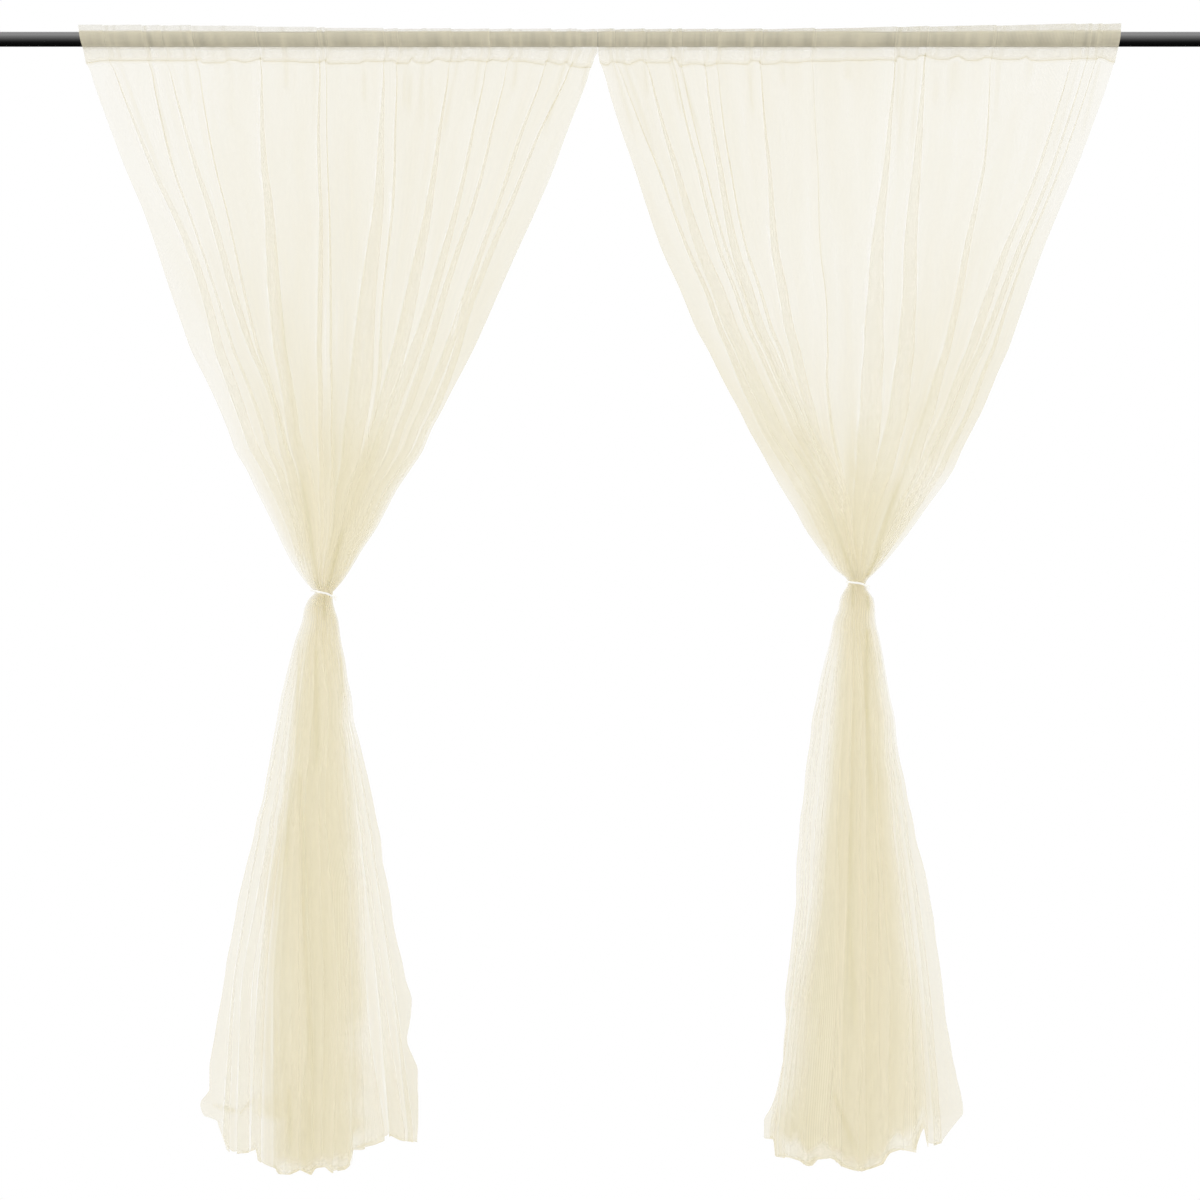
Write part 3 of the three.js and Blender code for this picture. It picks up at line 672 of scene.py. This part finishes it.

    # Pressed lines: short creases, and light or dark runs where the cloth is pushed together, with
    # denser cloth and painted shade along them (thinner cloth and painted light where the strength
    # is negative)
    creases = [(x0, SEAM_HEIGHT, x1, z1, SEAM_CREASE) for x0, x1, z1 in spec["seam_creases"]]
    for x0, z0, x1, z1, strength, *wide in creases + list(spec["creases"]):
        dx, dz = x1 - x0, z1 - z0
        t = np.clip(((x - x0) * dx + (z - z0) * dz) / (dx**2 + dz**2), 0, 1)
        off = np.hypot(x - x0 - t * dx, z - z0 - t * dz) / mix(CREASE_START, 1.0, t)
        off /= wide[0] if wide else CREASE_WIDTH
        mark = np.exp(-off**2) * ease((1 - t) / CREASE_FADE)
        amount *= 1 + strength * mark
        tone_and_painted_shading -= mix(*CREASE_PAINTED_SHADE, gather) * strength * mark
        h += CREASE_HEIGHT * mark * (1 - gather)

    # Cover of one layer: more where the cloth is steep, in streaks along the threads
    run = np.abs(np.gradient(x, axis=1)) + 1e-6
    steep = np.clip(np.hypot(np.gradient(x, axis=1), np.gradient(h, axis=1)) / run, 1.0, STEEPEST)
    streaks = 1
    for strength, *size in STREAKS:
        streaks = streaks + strength * ripple(rng, on_cloth, z, *size)
    side = ease(np.minimum(cloth, FLAT_WIDTH - cloth) / SELVEDGE)[None, :]
    amount = amount * streaks * mix(SELVEDGE_AMOUNT, 1.0, side) * steep**STEEP_POWER

    # Thin fringe above the hem, where the cloth no longer lies deep, and a denser cut edge
    above = z - foot[None, :]
    middle = np.abs((x - low[FRINGE_ROW]) / (high - low)[FRINGE_ROW] - FRINGE_MIDDLE)
    wander = FRINGE_WANDER * ripple(rng, x, 0 * z, *FRINGE_WAVES)
    inner = FRINGE_HEIGHT + FRINGE_RISE * middle + wander
    fringe = ease((inner - above) / FRINGE_FADE) * ease((total - FRINGE_LEAST) / FRINGE_DEPTH)
    amount = amount * mix(1.0, FRINGE_AMOUNT, fringe)
    cover = 1 - (1 - SINGLE_COVER) ** np.clip(amount, *AMOUNT_LIMITS)
    cover[:3] = mix(cover[:3], SEAM_COVER, np.array(SEAM_SHARES)[:, None])
    cover = np.where(above < HEM_LINE, np.minimum(HEM_COVER * cover, HEM_MOST), cover)

    # Pocket: from the seam up the back, over the rod and down the front to the seam
    touch = np.array((math.cos(POCKET_TOUCH), math.sin(POCKET_TOUCH))) * POCKET_RADIUS
    lift = along(spec["lift"], x[0])
    pull = POCKET_PULL + FOLD_PULL * (h[0] - h[0].min())
    folded = (x[0] - x[0][0]) / (x[0][-1] - x[0][0])
    spread = np.concatenate(([0.0], np.cumsum(np.abs(np.diff(x[0])))))
    spread /= spread[-1]
    pleats = [c[0] for c in spec["seam_creases"]] + [pair[0][0] for pair in spec["folds"]]
    pleat = sum(np.exp(-((x[0] - p) / PLEAT_WIDTH) ** 2) for p in pleats)
    gx, gh, gz, gc, gt = [], [], [], [], []

    def pocket_row(out, heights, normal, raised, evened, below):
        """out is towards the room, normal the way the cloth's folds stand off there. The cover
        is below under the rod, and more over the rod and on the gathered ridge above it."""
        low, high = outline(np.clip(heights + 0 * lift, *POCKET_SIDES))
        gx.append(low + mix(folded, spread, evened) * (high - low))
        gh.append(out + normal[0] * pull)
        gz.append(heights + normal[1] * pull + raised * lift)
        ridge = ease((gz[-1] - ROD_RADIUS + RIDGE_OVERLAP) / RIDGE_FADE)
        cover = mix(mix(*OVER_ROD_COVER, (gz[-1] + ROD_RADIUS) / (2 * ROD_RADIUS)),
                    spec["ridge"], ridge)
        cover = mix(below, cover, ease((gz[-1] + ROD_RADIUS + UNDER_OVERLAP) / UNDER_FADE))
        gc.append(cover * streaks[0] * (1 + PLEAT_COVER * pleat * (1 - cover)))
        # Painted light on the cloth over the rod, which shades it from behind; less on the ridge
        gt.append(mix(*POCKET_PAINTED_LIGHT, ridge))

    for j in range(SLOPE_STEPS):
        t = j / SLOPE_STEPS
        pocket_row(mix(-SEAM_GAP, -touch[0], t), mix(seam_dip, touch[1], t),
                   (-SLOPE_PULL * t, 0), 0, ease(t * 2), BACK_COVER)
    for turn in np.linspace(math.pi - POCKET_TOUCH, POCKET_TOUCH, POCKET_STEPS):
        out, up = math.cos(turn), math.sin(turn)
        pocket_row(out * POCKET_RADIUS, up * POCKET_RADIUS, (out, up), max(0.0, up) ** LIFT_POWER,
                   1.0, FRONT_COVER if out > 0 else BACK_COVER)
    for height in FRONT_SLOPE:
        t = (height - SEAM_HEIGHT) / (touch[1] - SEAM_HEIGHT)
        heights = mix(seam_dip, touch[1], t) if height < WAVY_BELOW else height + 0 * lift
        pocket_row(mix(0.0, touch[0], t), heights, (SLOPE_PULL * t, 0), 0, ease(t * 2),
                   FRONT_COVER)
    h[0] = np.maximum(h[0] * SEAM_RELIEF, 0.0)
    x, h, z, cover = (np.vstack((np.array(a), b))
                      for a, b in ((gx, x), (gh, h), (gz, z), (gc, cover)))
    # Painted light where the cloth is gathered at the neck, whose many layers shade one another
    tone_and_painted_shading = np.vstack((np.array(gt), tone_and_painted_shading + NECK_PAINTED_LIGHT * (1 - loose) * gather))
    down = np.hypot(np.diff(z, axis=0), np.diff(h, axis=0))
    down = np.concatenate(([0.0], np.cumsum(np.median(down, axis=1))))
    return dict(x=x, h=h, z=z, cover=np.clip(cover, *COVER_LIMITS),
                tone_and_painted_shading=np.clip(0.5 + 0.5 * tone_and_painted_shading, 0, 1), cloth=cloth, down=down,
                seam_row=len(gx) + 1)


# Polyamide tulle: fine soft threads with open holes, so each layer covers about a third. It
# scatters light from both sides alike and passes most of it on to the layers behind, so deep
# folds stay pale. Its 1 mm net is drawn coarser, because the real one is too fine to show.
NET_PITCH = 2.4 * MM
STREAK = 26 * MM
STREAK_SHADE = 0.12
BACK_SHARE = 0.35
LIGHT_STOPPED = 0.1

tulle, tree = new_material("ivory_tulle")


def maths(operation, *values, clamp=False):
    """A Math node of the cloth's material. Each value is a number, a node or a node's output."""
    links, numbers = {}, {}
    for k, value in enumerate(values):
        (numbers if isinstance(value, (int, float)) else links)[k] = value
    return add(tree, "Math", links, numbers, operation=operation, use_clamp=clamp)


lay = add(tree, "UVMap", uv_map="cloth")
parts = add(tree, "SeparateXYZ", {"Vector": lay})
across = maths("MULTIPLY", parts.outputs["X"], 2 * math.pi / NET_PITCH)
waves = []
for way in (1, -1):
    length = maths("MULTIPLY", parts.outputs["Y"], way * 2 * math.pi / NET_PITCH)
    waves.append(maths("SINE", maths("ADD", across, length)))
threads = add(tree, "MapRange", {"Value": maths("MULTIPLY", *waves)},
              {"From Min": -1.0, "From Max": 1.0, "To Min": 0.8, "To Max": 1.2})
stretch = add(tree, "Mapping", {"Vector": lay}, {"Scale": (1.0, 0.12, 1.0)})
slub = add(tree, "TexNoise", {"Vector": stretch},
           {"Scale": 1 / STREAK, "Detail": 4.0, "Roughness": 0.6})
streak = add(tree, "MapRange", {"Value": slub},
             {"From Min": 0.3, "From Max": 0.7, "To Min": 0.9, "To Max": 1.1})
cover = add(tree, "Attribute", attribute_name="cover")
shown = maths("MULTIPLY", cover.outputs["Fac"], threads)
shown = maths("MULTIPLY", shown, streak, clamp=True)
rays = add(tree, "LightPath")
lamps = maths("MAXIMUM", rays.outputs["Is Diffuse Ray"], rays.outputs["Is Shadow Ray"])
lamps = maths("MAXIMUM", lamps, rays.outputs["Is Glossy Ray"])
glow = add(tree, "MapRange", {"Value": lamps}, {"To Min": 1.0, "To Max": LIGHT_STOPPED})
shown = maths("MULTIPLY", shown, glow)
# Painted shading from the panels' attribute: shade in fold hollows and along creases, light over
# the rod and at the neck. The slub streaks add the cloth's own uneven colour.
tone_and_painted_shading = add(tree, "Attribute", attribute_name="tone_and_painted_shading")
shade = maths("MULTIPLY_ADD", slub, STREAK_SHADE, -STREAK_SHADE / 2)
shade = maths("ADD", shade, tone_and_painted_shading.outputs["Fac"], clamp=True)
tint = shades(tree, shade, "#dbd3ae", "#f1e9cf")
front = add(tree, "BsdfDiffuse", {"Color": tint})
back = add(tree, "BsdfTranslucent", {"Color": tint})
body = add(tree, "MixShader", {1: front, 2: back}, {0: BACK_SHARE})
holes = add(tree, "BsdfTransparent")
veil = add(tree, "MixShader", {0: shown, 1: holes, 2: body})
add(tree, "OutputMaterial", {"Surface": veil})

built = {}
for side, spec in PANELS.items():
    grid = build_panel(spec)
    rows, columns = grid["x"].shape
    points = np.stack((grid["x"], -grid["h"], grid["z"]), 2).reshape(-1, 3)
    index = np.arange(rows * columns).reshape(rows, columns)
    faces = np.stack((index[:-1, :-1], index[1:, :-1], index[1:, 1:], index[:-1, 1:]), 2)
    panel = new_piece("mesh_panel_" + side, points, faces.reshape(-1, 4).tolist(), tulle)
    mesh = panel.data
    layer = mesh.uv_layers.new(name="cloth")
    uv = np.stack(np.broadcast_arrays(grid["cloth"][None, :], -grid["down"][:, None]), 2)
    layer.data.foreach_set("uv", (uv.reshape(-1, 2)[faces.ravel()] * MM).ravel())
    for name in ("cover", "tone_and_painted_shading"):
        attribute = mesh.attributes.new(name, "FLOAT", "POINT")
        attribute.data.foreach_set("value", grid[name].ravel())
    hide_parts("panel_" + side)
    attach(panel, "root")
    built[side] = grid, panel


# Pocket stitching
# One row of ivory polyester thread closes the foot of each pocket. It was sewn while the cloth
# was flat, so it goes in and out with every fold and wanders a few millimetres in height.
STITCH = {"Stitch pitch": 3.6, "Stitch length": 2.7, "Thread radius": 0.35}
STITCH_STAND_OFF = 0.45
TWIST_PITCH = 1.2 * MM

thread, tree = new_material("polyester_thread")
where = add(tree, "TexCoord")
twist = add(tree, "TexWave", {"Vector": where.outputs["Object"]},
            {"Scale": 1 / TWIST_PITCH, "Distortion": 0.4}, bands_direction="DIAGONAL")
shade = shades(tree, twist.outputs["Fac"], "#d6ccab", "#e2d9bc")
strand = add(tree, "BsdfPrincipled", {"Base Color": shade},
             {"Roughness": 0.6, "Specular IOR Level": 0.2})
add(tree, "OutputMaterial", {"Surface": strand})

# Tree: a line of points made a curve, cut at the pitch, with one short stitch at each point
stitcher = tree = bpy.data.node_groups.new("stitch_row", "GeometryNodeTree")
for way in ("INPUT", "OUTPUT"):
    stitcher.interface.new_socket("Geometry", in_out=way, socket_type="NodeSocketGeometry")
for name in STITCH:
    stitcher.interface.new_socket(name, in_out="INPUT", socket_type="NodeSocketFloat")
given = add(tree, "NodeGroupInput")
path = add(tree, "MeshToCurve", {"Mesh": given.outputs["Geometry"]})
cut = add(tree, "ResampleCurve", {"Curve": path, "Length": given.outputs["Stitch pitch"]},
          mode="LENGTH")
ball = add(tree, "MeshIcoSphere", sockets={"Radius": 1.0, "Subdivisions": 2})
half = add(tree, "ShaderNodeMath", {0: given.outputs["Stitch length"]}, {1: 0.5},
           operation="MULTIPLY")
size = add(tree, "ShaderNodeCombineXYZ",
           {"X": given.outputs["Thread radius"], "Y": given.outputs["Thread radius"], "Z": half})
heading = add(tree, "InputTangent")
turned = add(tree, "FunctionNodeAlignRotationToVector", {"Vector": heading}, axis="Z")
placed = add(tree, "InstanceOnPoints",
             {"Points": cut, "Instance": ball, "Rotation": turned, "Scale": size})
real = add(tree, "RealizeInstances", {"Geometry": placed})
painted = add(tree, "SetMaterial", {"Geometry": real}, {"Material": thread})
add(tree, "NodeGroupOutput", {"Geometry": painted})


def made_by_nodes(name, points, group, values):
    """Runs a node tree on a line of points in millimetres and keeps the result as a plain mesh."""
    edges = [(k, k + 1) for k in range(len(points) - 1)]
    piece = new_piece(name, points, [], edges=edges)
    modifier = piece.modifiers.new("nodes", "NODES")
    modifier.node_group = group
    for item in group.interface.items_tree:
        if item.in_out == "INPUT" and item.name in values:
            modifier[item.identifier] = values[item.name] * MM
    shaped = piece.evaluated_get(bpy.context.evaluated_depsgraph_get())
    result = bpy.data.meshes.new_from_object(shaped)
    result.polygons.foreach_set("use_smooth", [True] * len(result.polygons))
    piece.modifiers.clear()
    piece.data = result
    return piece


for side, (grid, panel) in built.items():
    row = grid["seam_row"]
    line = np.stack((grid["x"][row], -grid["h"][row] - STITCH_STAND_OFF, grid["z"][row]), 1)
    stitches = made_by_nodes("pocket_stitches_" + side, line, stitcher, STITCH)
    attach(stitches, "root")


# Ribbon ties
# A narrow white satin ribbon is drawn round each waist and knotted at the front right, with
# two short free ends. It dips towards the knot and bites a little into the gathered cloth.
RIBBON_WIDTH = 3.6
RIBBON_THICKNESS = 0.5
RIBBON_PLACES = (-1, -0.55, 0, 0.55, 1)
RIBBON_CUP = 0.25
RIBBON_STEPS = 72
RIB_PITCH = 5 * MM
TIE_ROOM = 1.6
TIE_SPREAD = 1.04
TIE_SLANT = 0.65
TIE_RISE = 0.8
TIE_DIP = 3.0
DIP_START = 0.3
TIE_ROLL = 0.12
KNOT_SIZE = (3.6, 3.0, 3.2)
KNOT_TURN = -0.5
KNOT_ROOM = (1.0, 1.5)
KNOT_HEIGHT = -2.0
GROOVE_DEPTH = 0.16
GROOVE_PITCH = 2.2
GROOVE_SLANT = 0.5
GROOVE_WIDTH = 0.5
FREE_ENDS = ((0.95, 2.0), (1.7, -2.5))
END_STEPS = 9
END_LENGTH = 9.0
END_BEND = 0.25
END_CURL = (0.4, 0.3)
END_FRONT = (2.2, 1.5)
END_DROP = 1.2
END_TWIST = 0.25
END_WIDTH = 0.8

satin, tree = new_material("white_satin_ribbon")
where = add(tree, "TexCoord")
ribs = add(tree, "TexWave", {"Vector": where.outputs["Object"]},
           {"Scale": 1 / RIB_PITCH, "Distortion": 1.0, "Detail": 1.0}, bands_direction="Z")
relief = add(tree, "Bump", {"Height": ribs.outputs["Fac"]},
             {"Strength": 0.25, "Distance": 0.1 * MM})
gleam = shades(tree, ribs.outputs["Fac"], "#fdfbf2", "#fffefa")
weft = add(tree, "BsdfPrincipled", {"Base Color": gleam, "Normal": relief},
           {"Roughness": 0.45, "Specular IOR Level": 0.3, "Sheen Weight": 0.2})
add(tree, "OutputMaterial", {"Surface": weft})


def strip(points, across, width, closed=False):
    """Points and faces of a ribbon that follows points, a little cupped across its width."""
    points, across = np.asarray(points, float), np.asarray(across, float)
    ahead = np.roll(points, -1, 0) - np.roll(points, 1, 0)
    if not closed:
        ahead[0], ahead[-1] = points[1] - points[0], points[-1] - points[-2]
    out = np.cross(ahead, across)
    out /= np.linalg.norm(out, axis=1)[:, None]
    grid = np.stack([points + across * place * width / 2 - out * RIBBON_CUP * place**2
                     for place in RIBBON_PLACES], 1)
    rows, columns = grid.shape[:2]
    faces = []
    for r in range(rows if closed else rows - 1):
        for c in range(columns - 1):
            a, b = r * columns + c, (r + 1) % rows * columns + c
            faces.append((a, b, b + 1, a + 1))
    return grid.reshape(-1, 3), faces


def joined(parts):
    """Points and faces of several parts as one."""
    points, faces = [], []
    for more, theirs in parts:
        faces += [[len(points) + i for i in f] for f in theirs]
        points += list(more)
    return points, faces


def ball_of_ribbon(centre, size, sides=20, rings=12):
    """The knot: a small rounded lump, wrapped once so that a groove runs over it."""
    points = []
    for r in range(rings + 1):
        down = math.pi * r / rings
        for k in range(sides):
            turn = 2 * math.pi * k / sides
            off = (math.cos(down) * GROOVE_PITCH + GROOVE_SLANT * math.cos(turn)) / GROOVE_WIDTH
            ridge = 1 - GROOVE_DEPTH * math.exp(-off**2)
            points.append((centre[0] + size[0] * ridge * math.sin(down) * math.cos(turn),
                           centre[1] + size[1] * ridge * math.sin(down) * math.sin(turn),
                           centre[2] + size[2] * ridge * math.cos(down)))
    return points, ring_faces(rings + 1, sides)


for side, spec in PANELS.items():
    waist = spec["waist"]
    slant = math.atan(TIE_SLANT * waist["tilt"])
    wide = (waist["half_width"] * TIE_SPREAD + TIE_ROOM) / math.cos(slant)
    deep = waist["half_depth"] + TIE_ROOM
    loop, up = [], []
    for k in range(RIBBON_STEPS):
        turn = 2 * math.pi * k / RIBBON_STEPS
        sag = TIE_RISE - TIE_DIP * ease((math.cos(turn) - DIP_START) / (1 - DIP_START))
        loop.append((wide * math.cos(turn), deep * math.sin(turn), sag))
        roll = TIE_ROLL * math.sin(3 * turn + waist["x"])
        up.append((roll * math.cos(turn), roll * math.sin(turn), 1.0))
    knot_at = ((wide + KNOT_ROOM[0]) * math.cos(KNOT_TURN),
               (deep + KNOT_ROOM[1]) * math.sin(KNOT_TURN), KNOT_HEIGHT)
    parts = [strip(loop, up, RIBBON_WIDTH, closed=True), ball_of_ribbon(knot_at, KNOT_SIZE)]
    for heading, curl in FREE_ENDS:
        end, rise = [], []
        for j in range(END_STEPS + 1):
            t = j / END_STEPS
            reach = END_LENGTH * t
            end.append((knot_at[0] + reach * math.sin(heading) * (1 - END_BEND * t)
                        + curl * t * t * END_CURL[0],
                        knot_at[1] - END_FRONT[0] - END_FRONT[1] * t + curl * t * t * END_CURL[1],
                        knot_at[2] - reach * math.cos(heading) - END_DROP * t * t))
            rise.append((math.cos(heading), END_TWIST, math.sin(heading)))
        parts.append(strip(end, rise, RIBBON_WIDTH * END_WIDTH))
    points, faces = joined(parts)
    tie = new_piece("ribbon_tie_" + side, points, faces, satin)
    at_waist = Matrix.Translation(Vector((waist["x"], 0, waist["z"])) * MM)
    tie.data.transform(at_waist @ Matrix.Rotation(-slant, 4, "Y"))
    thick = tie.modifiers.new("thickness", "SOLIDIFY")
    thick.thickness = RIBBON_THICKNESS * MM
    thick.offset = 0
    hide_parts("tie_" + side)
    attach(tie, "root")


# Studio
# A white sweep behind and all round, soft light from every side, brightest overhead, and a
# plain pale floor under the hems. The camera is level and far off, square to the rod.
VIEW_WIDTH = 2.232
VIEW_CENTRE = (0.0, -1.0429)
LENS = 400.0
SENSOR = 36.0
FLOOR = ((-2200, -2000, -2200), (2200, -2000, -2200), (2200, 850, -2200), (-2200, 850, -2200))
BRIGHTEST_WAY = (0.0, -0.3, 0.954)
DISTANCE = VIEW_WIDTH * LENS / SENSOR

# Sky light as (place, value), black at 0 and white at 1
LIGHT_STEPS = ((0.3, 0.02), (0.55, 0.15), (0.75, 0.38), (0.95, 0.7))

floor_paint, tree = new_material("pale_floor_paint")
where = add(tree, "TexCoord")
mottle = add(tree, "TexNoise", {"Vector": where.outputs["Object"]},
             {"Scale": 6.0, "Detail": 3.0})
pale = shades(tree, mottle, "#f4f3f1", "#f8f7f6")
matt = add(tree, "BsdfDiffuse", {"Color": pale})
add(tree, "OutputMaterial", {"Surface": matt})
floor = new_piece("studio_floor", FLOOR, [(0, 1, 2, 3)], floor_paint, smooth=False)
floor.visible_glossy = False

scene = bpy.context.scene
world = bpy.data.worlds.new("studio")
scene.world = world
world.use_nodes = True
tree = world.node_tree
tree.nodes.clear()
around = add(tree, "TexCoord")
axis = add(tree, "VectorMath", {0: around.outputs["Generated"]},
           {1: BRIGHTEST_WAY}, operation="DOT_PRODUCT")
height = add(tree, "MapRange", {"Value": axis.outputs["Value"]},
             {"From Min": -1.0, "From Max": 1.0})
ramp = add(tree, "ValToRGB", {"Fac": height})
for place, value in LIGHT_STEPS:
    ramp.color_ramp.elements.new(place).color = (value, value, value, 1)
softbox = add(tree, "Background", {"Color": ramp}, {"Strength": 6.0})
sweep = add(tree, "Background", sockets={"Color": (1, 1, 1, 1), "Strength": 1.0})
rays = add(tree, "LightPath")
lit = add(tree, "MixShader", {0: rays.outputs["Is Glossy Ray"], 1: sweep, 2: softbox})
add(tree, "OutputWorld", {"Surface": lit})

scene.view_settings.view_transform = "Standard"
scene.view_settings.look = "None"
scene.cycles.transparent_max_bounces = 128
camera = bpy.data.objects.new("camera", bpy.data.cameras.new("camera"))
camera.data.lens = LENS
camera.data.sensor_width = SENSOR
camera.data.clip_end = 200
camera.location = (VIEW_CENTRE[0], -DISTANCE, VIEW_CENTRE[1])
camera.rotation_euler = (math.pi / 2, 0, 0)
scene.collection.objects.link(camera)
scene.camera = camera
